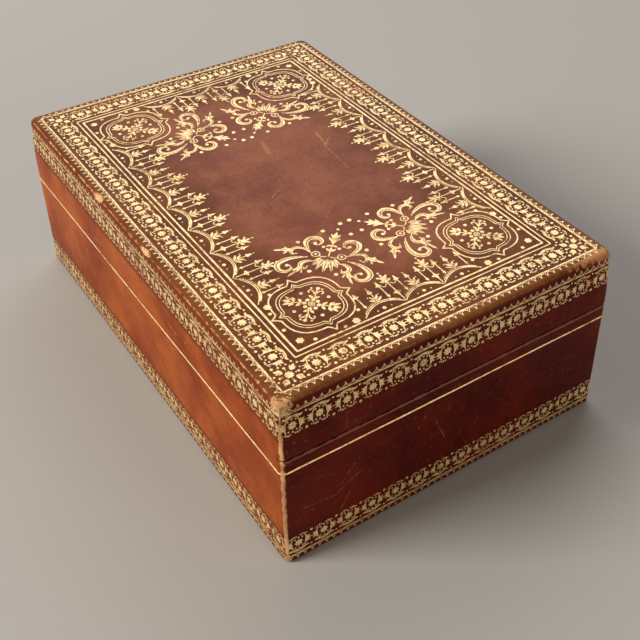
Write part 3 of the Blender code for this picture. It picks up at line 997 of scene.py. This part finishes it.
def fleuron_scrolls():
    """The curled lines of half a fleuron."""
    hook = [(2.0, 7.6), (4.8, 9.9), (8.6, 11.6), (11.9, 10.6)]
    hook += [(12.9, 7.4), (11.2, 5.0), (8.6, 5.2), (8.0, 7.2)]
    wing = [(-1.0, 8.6), (-2.2, 12.6), (-4.6, 17.0), (-8.4, 19.6)]
    wing += [(-12.0, 18.4), (-12.6, 15.2), (-10.0, 13.4), (-7.9, 14.6)]
    horn = [(2.4, 8.4), (4.2, 11.2), (4.4, 14.6), (2.0, 16.4), (-0.2, 15.2), (0.4, 13.2)]
    tail = [(-3.2, 5.2), (-3.9, 8.0), (-5.8, 10.2), (-8.4, 9.8), (-8.8, 7.6), (-7.0, 7.0)]
    stamps = scroll(hook, 0.60, 2.6, 0.40) + scroll(wing, 0.60, 2.6, 0.40)
    return stamps + scroll(horn, 0.55, 1.8, 0.5) + scroll(tail, 0.60, 2.2, 0.45)


def fleuron():
    """Acanthus and scrolls. +X points from the medallion to the panel's middle."""
    half = fleuron_scrolls()
    half += veined((-1.0, 1.3), (-9.2, 3.4), 2.0, 7) + veined((-1.2, 2.4), (-6.4, 5.4), 1.9, 6)
    half += veined((2.4, 15.8), (1.6, 21.4), 2.5, 6) + veined((-7.6, 9.8), (-13.0, 11.9), 2.3, 6)
    half += [circle_line(1.4, 5.6, 1.75, 0.52, 16), stroke([(0.6, 0.8), (0.2, 2.2), (0.4, 3.8)], 0.5, 3)]
    half += [dot(1.4, 5.6, 0.65, 8), dot(8.7, 7.5, 0.85), dot(-8.4, 15.6, 0.85)]
    half += [dot(18.2, 6.2, 1.0), dot(8.2, 14.9, 0.95), dot(6.9, 3.4, 0.8), dot(-10.6, 5.6, 0.95)]
    half += [leaf((-0.6, 2.6), (-3.2, 5.6), 1.0, 5), leaf((1.5, 20.2), (0.6, 24.0), 1.2, 5)]
    half += [leaf((2.0, 17.6), (4.0, 19.8), 1.0, 4), leaf((1.2, 17.8), (-1.2, 19.2), 1.0, 4)]
    half += [leaf((-11.8, 11.3), (-15.8, 13.6), 1.1, 5), leaf((-9.6, 10.2), (-11.4, 13.4), 1.0, 4)]
    half += [leaf((-9.8, 9.2), (-12.6, 8.6), 0.9, 4), leaf((4.2, 0.3), (6.4, 2.2), 1.3, 4)]
    half += [leaf((8.8, 0.2), (7.6, 2.6), 1.2, 4), leaf((11.4, 0.4), (14.2, 2.6), 1.2, 4)]
    half += [leaf((14.0, 0.4), (16.8, 2.2), 1.1, 4)]
    stamps = both(half) + veined((-0.8, 0), (-10.2, 0), 2.4, 8)
    stamps += [stroke([(0.6, 0), (4, 0), (9.5, 0)], 0.55, 3), rosette(5.4, 0, 1.7, 4, 0.3)]
    return stamps + [leaf((9.2, 0), (18.6, 0), 2.7, 7), dot(20.6, 0, 0.75), dot(25.0, 0, 1.05)]


def pillar(foot, head):
    """A slender post with a ball foot and a pointed head, along +Y."""
    stamps = [dot(0, foot, 0.72, 9), stroke([(0, foot), (0, (foot + head) / 2), (0, head)], 0.50, 2)]
    stamps += [leaf((-1.5, head + 0.3), (1.5, head + 0.3), 1.25, 5), leaf((0, foot - 1.5), (0, foot + 2.2), 0.7, 4)]
    return stamps + [leaf((0, head - 1.2), (0, head + 3.4), 1.25, 6)]


def tall_sprig():
    """Three posts under a flower, which stand on the point between two scallops."""
    half = [stroke([(0.7, 14.6), (2.2, 12.9), (3.7, 14.0)], 0.40, 3)]
    half += [leaf((0.5, 15.4), (2.7, 16.6), 1.15, 4), leaf((0.8, 18.0), (2.6, 19.4), 1.15, 4)]
    stamps = [stroke([(0, 2.6), (0, 8), (0, 14.6)], 0.50, 3), rosette(0, 17.4, 1.75, 5, 0.22)]
    stamps += [leaf((-2.0, 7.7), (2.0, 7.7), 1.55, 5), leaf((0, 5.4), (0, 10.0), 1.5, 5)]
    stamps += [leaf((0, 14.2), (0, 16.6), 1.2, 5), leaf((0, 18.4), (0, 20.8), 1.1, 5), dot(0, 21.6, 0.5, 8)]
    posts = place(pillar(7.6, 14.4), x=-4.3) + place(pillar(7.6, 14.4), x=4.3)
    return stamps + posts + left_and_right(half)


def small_sprig():
    """A bush of leaves with one bud, which stands on the crown of a scallop."""
    half = [leaf((0.3, 7.7), (3.1, 9.7), 1.25, 4), leaf((0.2, 8.8), (2.0, 11.8), 1.1, 4)]
    half += [dot(2.6, 11.4, 0.34, 6), leaf((0.2, 13.0), (1.3, 13.9), 0.6, 4)]
    stamps = [stroke([(0, 7.2), (0, 9.5), (0, 13.4)], 0.46, 2), leaf((0, 12.8), (0, 16.2), 1.5, 6)]
    return stamps + [dot(0, 16.8, 0.34, 7)] + left_and_right(half)


def scallop(period):
    """One arch between two cusps, with a shaded and beaded upper line, and three dots under it."""

    def rise(share):
        return 1.5 + 4.5 * np.sin(math.pi * share) ** 0.9

    shares = np.linspace(0, 1, 17)
    line = np.stack([(shares - 0.5) * period, rise(shares)], 1)
    thick = 0.38 + 0.75 * np.exp(-(((shares - 0.80) / 0.13) ** 2))
    stamps = [Stamp(line, widths=np.full(17, 0.50)), Stamp((line + (0, 0.85))[1:-1], widths=thick[1:-1])]
    for share in np.linspace(0.10, 0.58, 11):
        stamps.append(dot((share - 0.5) * period, rise(share) + 1.65, 0.24, 6))
    return stamps + [dot(0, 2.6, 0.85), dot(-3.3, 2.3, 0.36, 7), dot(3.3, 2.3, 0.36, 7)]


def dentelle(period, arches, end_pillar):
    """The lace border of one side: v is the distance from the inner fillet towards the panel's middle."""
    half = arches * period / 2
    stamps = []
    for u in middles(half, arches):
        stamps += hand_placed(scallop(period), u, 0)
        stamps += hand_placed(small_sprig(), u, 0)
    for u in joins(half, arches):
        stamps += hand_placed(tall_sprig(), u, 0)
    for u in (-end_pillar, end_pillar):
        stamps += hand_placed(pillar(7.2, 13.6), u, 0)
    return stamps


def to_top(stamps, facing, distance):
    """Turns stamps drawn with v inwards from a line to a side of the top, at a distance from the middle."""
    x, y = distance * math.cos(facing), distance * math.sin(facing)
    return place(stamps, x, y, math.degrees(facing) + 90)


def rubbed_away(stamp, corners):
    """True for a stamp that lies where the gold has been rubbed off a corner."""
    middle = stamp.points.mean(axis=0)
    near = min(math.hypot(*(middle - corner)) for corner in corners)
    return random.uniform() > 0.15 + near / RUBBED_RADIUS


def add_top_border(material):
    """Teeth, fillets and roll round the lid's top. The gold is worn off at the two left corners."""
    foil = Foil()
    worn = [np.array([-LONG_HALF, SHORT_HALF]), np.array([-LONG_HALF, -SHORT_HALF])]
    for facing, half, distance in SIDES:
        stamps = toothed_fillet(half - TOP_FILLET, 0, 0.72, upright=False)
        line, *teeth = to_top(stamps, facing, distance - TOP_FILLET)
        foil.add([line] + [stamp for stamp in teeth if not rubbed_away(stamp, worn)], on_top)
        run = half - TOP_ROLL
        repeats = round(2 * run / ROLL_PITCH)
        stamps = []
        for u in joins(run, repeats):
            stamps += hand_placed(roll_unit(), u, 0)
        for u in middles(run, repeats):
            stamps += hand_placed(roll_gap(), u, 0)
        stamps += hand_placed(corner_unit(), run, 0)
        foil.add(to_top(stamps, facing, distance - TOP_ROLL), on_top)
        for inset, width in ((TOP_THIN_FILLET, 0.60), (TOP_THICK_FILLET, 0.85)):
            foil.add(to_top([fillet(half - inset, 0, width)], facing, distance - inset), on_top)
    put(foil.piece("gold_top_border", material), "lid", "gold_tooling")


def add_top_panel(material):
    """Corner medallions, fleurons and the lace along the panel's sides."""
    foil = Foil()
    inwards = FLEURON_DISTANCE * math.sqrt(0.5)
    for sign_x in (-1, 1):
        for sign_y in (-1, 1):
            corner = math.degrees(math.atan2(sign_y, sign_x))
            x = sign_x * (LONG_HALF - TOP_THICK_FILLET - MEDALLION_INSET[0])
            y = sign_y * (SHORT_HALF - TOP_THICK_FILLET - MEDALLION_INSET[1])
            foil.add(hand_placed(medallion(), x, y), on_top)
            flip = sign_x * sign_y < 0
            foil.add(place(medallion_balls(), x, y, corner + (45 if flip else -45), flip=flip), on_top)
            foil.add(place(fleuron(), x - sign_x * inwards, y - sign_y * inwards, corner + 180), on_top)
    for facing, half, distance in SIDES:
        lace = dentelle(*(LONG_LACE if half > distance else SHORT_LACE))
        foil.add(to_top(lace, facing, distance - TOP_THICK_FILLET), on_top)
    put(foil.piece("gold_top_panel", material), "lid", "gold_tooling")


def wall_band(half, fillet_z, roll_z, upright):
    """Teeth, fillet and roll along one side. upright is True where the teeth point up."""
    stamps = toothed_fillet(half, fillet_z, 0.62, upright)
    repeats = round(2 * half / ROLL_PITCH)
    for u in middles(half, repeats):
        stamps += hand_placed(roll_unit(), u, roll_z, flip=not upright)
    for u in joins(half, repeats):
        stamps += hand_placed(roll_gap(), u, roll_z, flip=not upright)
    return stamps


def add_wall_gold(material):
    """Tooling on the four sides of the lid and of the base."""
    lid, base = Foil(), Foil()
    top, rim = TOP / MM, RIM / MM
    for facing, half, distance in SIDES:
        wrap = on_wall(facing, half, distance)
        lid.add(wall_band(half, top - SIDE_FILLET, top - SIDE_ROLL, True), wrap)
        base.add(wall_band(half, FOOT_FILLET, FOOT_ROLL, False), wrap)
        base.add([fillet(half, rim - BASE_FILLET, 0.88)], wrap, dome=BASE_FILLET_DOME)
    put(lid.piece("gold_lid_sides", material), "lid", "gold_tooling")
    put(base.piece("gold_base_sides", material), "base", "gold_tooling")


# ---------------------------------------------------------------- lining and tray


def pillow(name, low, high, material, crispness=(8, 8), rise=(0.4, 0.4), down=False, wrinkle=0.15):
    """A puffed pad that fills a box, flat on one side. crispness and rise shape its edges across X and Y."""
    columns = max(12, round((high.x - low.x) / (3 * MM))) + 1
    rows = max(12, round((high.y - low.y) / (3 * MM))) + 1
    middle, half = (low + high) / 2, (high - low) / 2
    verts = []
    for b in np.sin(np.linspace(-math.pi / 2, math.pi / 2, rows)):
        for a in np.sin(np.linspace(-math.pi / 2, math.pi / 2, columns)):
            dome = max(0.0, 1 - abs(a) ** crispness[0]) ** rise[0]
            dome *= max(0.0, 1 - abs(b) ** crispness[1]) ** rise[1]
            x, y = middle.x + half.x * a, middle.y + half.y * b
            fold = noise.noise(Vector((x * 90, y * 90, high.z * 50)))
            fold += 0.6 * noise.noise(Vector((x * 260, y * 260, 1)))
            height = (high.z - low.z) * dome * (1 - wrinkle * 0.5 + wrinkle * 0.5 * fold)
            verts.append((x, y, high.z - height if down else low.z + height))
    rim = grid_rim(rows, columns)
    faces = grid_faces(rows, columns, flip=down) + [tuple(rim if down else reversed(rim))]
    return make_piece(name, verts, faces, material, 70)


def add_pad(node, body, slot, material, fill, **shape):
    low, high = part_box(node)
    pad = put(pillow(node + "_soft", low, high, material, **shape), body, slot, node)


def add_pads(silk, velvet):
    add_pad("lid_padded_lining", "lid", "moire_silk", silk, 0.8,
            crispness=(10, 8), rise=(0.5, 0.5), down=True, wrinkle=0.10)
    add_pad("base_floor_pad", "base", "velvet", velvet, 0.7, crispness=(24, 18), wrinkle=0.25)
    for index in range(1, 7):
        add_pad(f"ring_roll_{index}", "tray", "velvet", velvet, 0.9,
                crispness=(2.2, 30), rise=(0.5, 0.4), wrinkle=0.06)
    for part in ("front", "back_left", "back_right"):
        add_pad(f"compartment_pad_{part}", "tray", "velvet", velvet, 0.6, crispness=(20, 20), wrinkle=0.3)


def add_underside(material):
    low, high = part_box("base_underside_cloth")
    edges = {"crispness": (160, 110), "rise": (0.5, 0.5)}
    sheet = pillow("underside_sheet", low, high, material, down=True, wrinkle=0.0, **edges)
    put(sheet, "base", "underside_cloth", "base_underside_cloth")


def band(name, centres, across, thickness, material):
    """A closed ribbon: centres[i][j] are rows of points, across[i] is the direction of its thickness."""
    sides = []
    for side in (-1, 1):
        offsets = [Vector(normal) * side * thickness / 2 for normal in across]
        sides.append([[Vector(point) + offset for point in row] for row, offset in zip(centres, offsets)])
    return slab(name, *sides, material, 50)


def turn_share(radius, angle, opening):
    """How much of the lid's turn a point of the stay takes, so that it reaches its place on the taut ribbon.

    radius and angle are its place about the hinge when the lid is open. At rest it is within the fold.
    """
    low, high = 0.0, 1.0
    for _ in range(40):
        share = (low + high) / 2
        step = 0.5 - math.sin(math.asin(1 - 2 * share) / 3)
        if radius * math.sin(angle - share * opening) > (2 * step - 1) * STAY_FOLD:
            low = share
        else:
            high = share
    return (low + high) / 2


def add_stay(node, material):
    """A ribbon that is straight and taut at the lid's limit, and folded between the end linings at rest."""
    low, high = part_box(node)
    opening = math.radians(LID_OPENING)
    hinge = Vector(((low.x + high.x) / 2, HALF_Y, PARTING))
    anchor = HALF_Y - low.y - STAY_WIDTH / 2
    start = Vector((0, -anchor, -STAY_FOLD))
    end_y = -anchor * math.cos(opening) - STAY_FOLD * math.sin(opening)
    end = Vector((0, end_y, anchor * math.sin(opening) - STAY_FOLD * math.cos(opening)))
    along = (end - start).normalized()
    across = Vector((0, -along.z, along.y))
    length = (end - start).length
    centres = []
    for reach in np.linspace(-STAY_TAIL, length + STAY_TAIL, 90):
        line = []
        for share in np.linspace(-0.5, 0.5, 7):
            point = start + along * reach + across * STAY_WIDTH * share
            radius, angle = math.hypot(point.y, point.z), math.atan2(point.z, -point.y)
            rest = angle - turn_share(radius, angle, opening) * opening
            line.append(hinge + Vector((0, -radius * math.cos(rest), radius * math.sin(rest))))
        centres.append(line)
    stay = band(node + "_ribbon", centres, [(1, 0, 0)] * len(centres), STAY_THICKNESS, material)
    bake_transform(stay)
    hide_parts(node)


def add_tab(node, material):
    """A loop of ribbon for lifting the tray."""
    low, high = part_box(node)
    middle = (low + high) / 2
    gap = (high.x - low.x - TAB_THICKNESS) / 2
    height = high.z - low.z - TAB_THICKNESS / 2
    shoulder = height - gap * 2
    path = [(-gap, 0), (-gap, height * 0.35), (-gap, shoulder)]
    bends = np.linspace(0.3, math.pi - 0.3, 9)
    path += [(-gap * math.cos(a), shoulder + 2 * gap * math.sin(a)) for a in bends]
    path += [(-x, z) for x, z in path[2::-1]]
    slopes = np.gradient(np.array(path), axis=0)
    across = [Vector((-slope[1], 0, slope[0])).normalized() for slope in slopes]
    stations = np.linspace(low.y, high.y, 7)
    centres = [[Vector((middle.x + x, y, low.z + z)) for y in stations] for x, z in path]
    tab = put(band(node + "_loop", centres, across, TAB_THICKNESS, material), "tray", "ribbon", node)


def soften_boards():
    """Rounds the edges of the covered boards a little."""
    for name, node in frame["nodes"].items():
        if name.endswith(("lining", "wall", "divider", "floor_board")) or name.startswith("tray_rest"):
            bevel = node.modifiers.new("rounded edges", "BEVEL")
            bevel.width = 0.6 * MM
            bevel.segments = 3


# ---------------------------------------------------------------- stage


def add_floor(material):
    bpy.ops.mesh.primitive_plane_add(size=12, location=(0, 0, 0))
    floor = bpy.context.object
    floor.name = "floor"
    floor.data.materials.append(material)


def add_area_light(name, location, aim, size, power, colour):
    light = bpy.data.lights.new(name, "AREA")
    light.shape = "RECTANGLE"
    light.size, light.size_y = size
    light.energy = power
    light.color = colour
    obj = bpy.data.objects.new(name, light)
    obj.location = location
    obj.rotation_euler = (Vector(aim) - Vector(location)).to_track_quat("-Z", "Y").to_euler()
    bpy.context.scene.collection.objects.link(obj)


def add_lights():
    aim = (0, 0, 0.04)
    add_area_light("key", (0.75, 2.45, 1.60), aim, (1.3, 1.1), 94, (1.0, 0.95, 0.87))
    add_area_light("window", (2.32, -1.56, 2.10), aim, (3.4, 2.4), 55, (1.0, 0.97, 0.96))
    add_area_light("fill", (-2.75, -0.95, 0.95), aim, (1.6, 1.2), 18, (1.0, 0.86, 0.70))
    world = bpy.data.worlds.new("studio")
    world.use_nodes = True
    background = world.node_tree.nodes["Background"]
    background.inputs["Color"].default_value = (1.0, 0.95, 0.88, 1)
    background.inputs["Strength"].default_value = 0.18
    bpy.context.scene.world = world


def add_camera():
    azimuth, elevation = math.radians(CAMERA_AZIMUTH), math.radians(CAMERA_ELEVATION)
    back = Vector((
        math.sin(azimuth) * math.cos(elevation),
        -math.cos(azimuth) * math.cos(elevation),
        math.sin(elevation),
    ))
    data = bpy.data.cameras.new("camera")
    data.lens = CAMERA_LENS
    data.sensor_width = 36
    data.shift_x, data.shift_y = CAMERA_SHIFT
    camera = bpy.data.objects.new("camera", data)
    camera.location = CAMERA_AIM + back * CAMERA_DISTANCE
    upright = (-back).to_track_quat("-Z", "Y").to_matrix()
    camera.rotation_euler = (upright @ Matrix.Rotation(math.radians(CAMERA_ROLL), 3, "Z")).to_euler()
    bpy.context.scene.collection.objects.link(camera)
    bpy.context.scene.camera = camera


def finish_nodes(materials):
    """Gives each CAD node that stays its material."""
    slots = {row["node"]: row["material_slot"] for row in frame["record"]["subparts"]}
    for name, node in frame["nodes"].items():
        node.data.materials.clear()
        node.data.materials.append(materials[slots[name]])


def main():
    materials = {
        "tooled_leather": leather_material(),
        "gold_tooling": gold_material(),
        "moire_silk": silk_material(),
        "velvet": velvet_material(),
        "ribbon": ribbon_material(),
        "underside_cloth": cloth_material(),
        "carcass_wood": wood_material(),
    }
    add_camera()
    add_lights()
    add_floor(floor_material())
    finish_nodes(materials)
    add_base_cover(materials["tooled_leather"])
    add_lid_cover(materials["tooled_leather"])
    add_hinge(materials["tooled_leather"])
    add_top_border(materials["gold_tooling"])
    add_top_panel(materials["gold_tooling"])
    add_wall_gold(materials["gold_tooling"])
    soften_boards()
    add_pads(materials["moire_silk"], materials["velvet"])
    add_underside(materials["underside_cloth"])
    for side in ("left", "right"):
        add_stay(f"ribbon_stay_{side}", materials["ribbon"])
        add_tab(f"tray_tab_{side}", materials["ribbon"])
    bpy.context.scene.view_settings.view_transform = "Standard"


main()
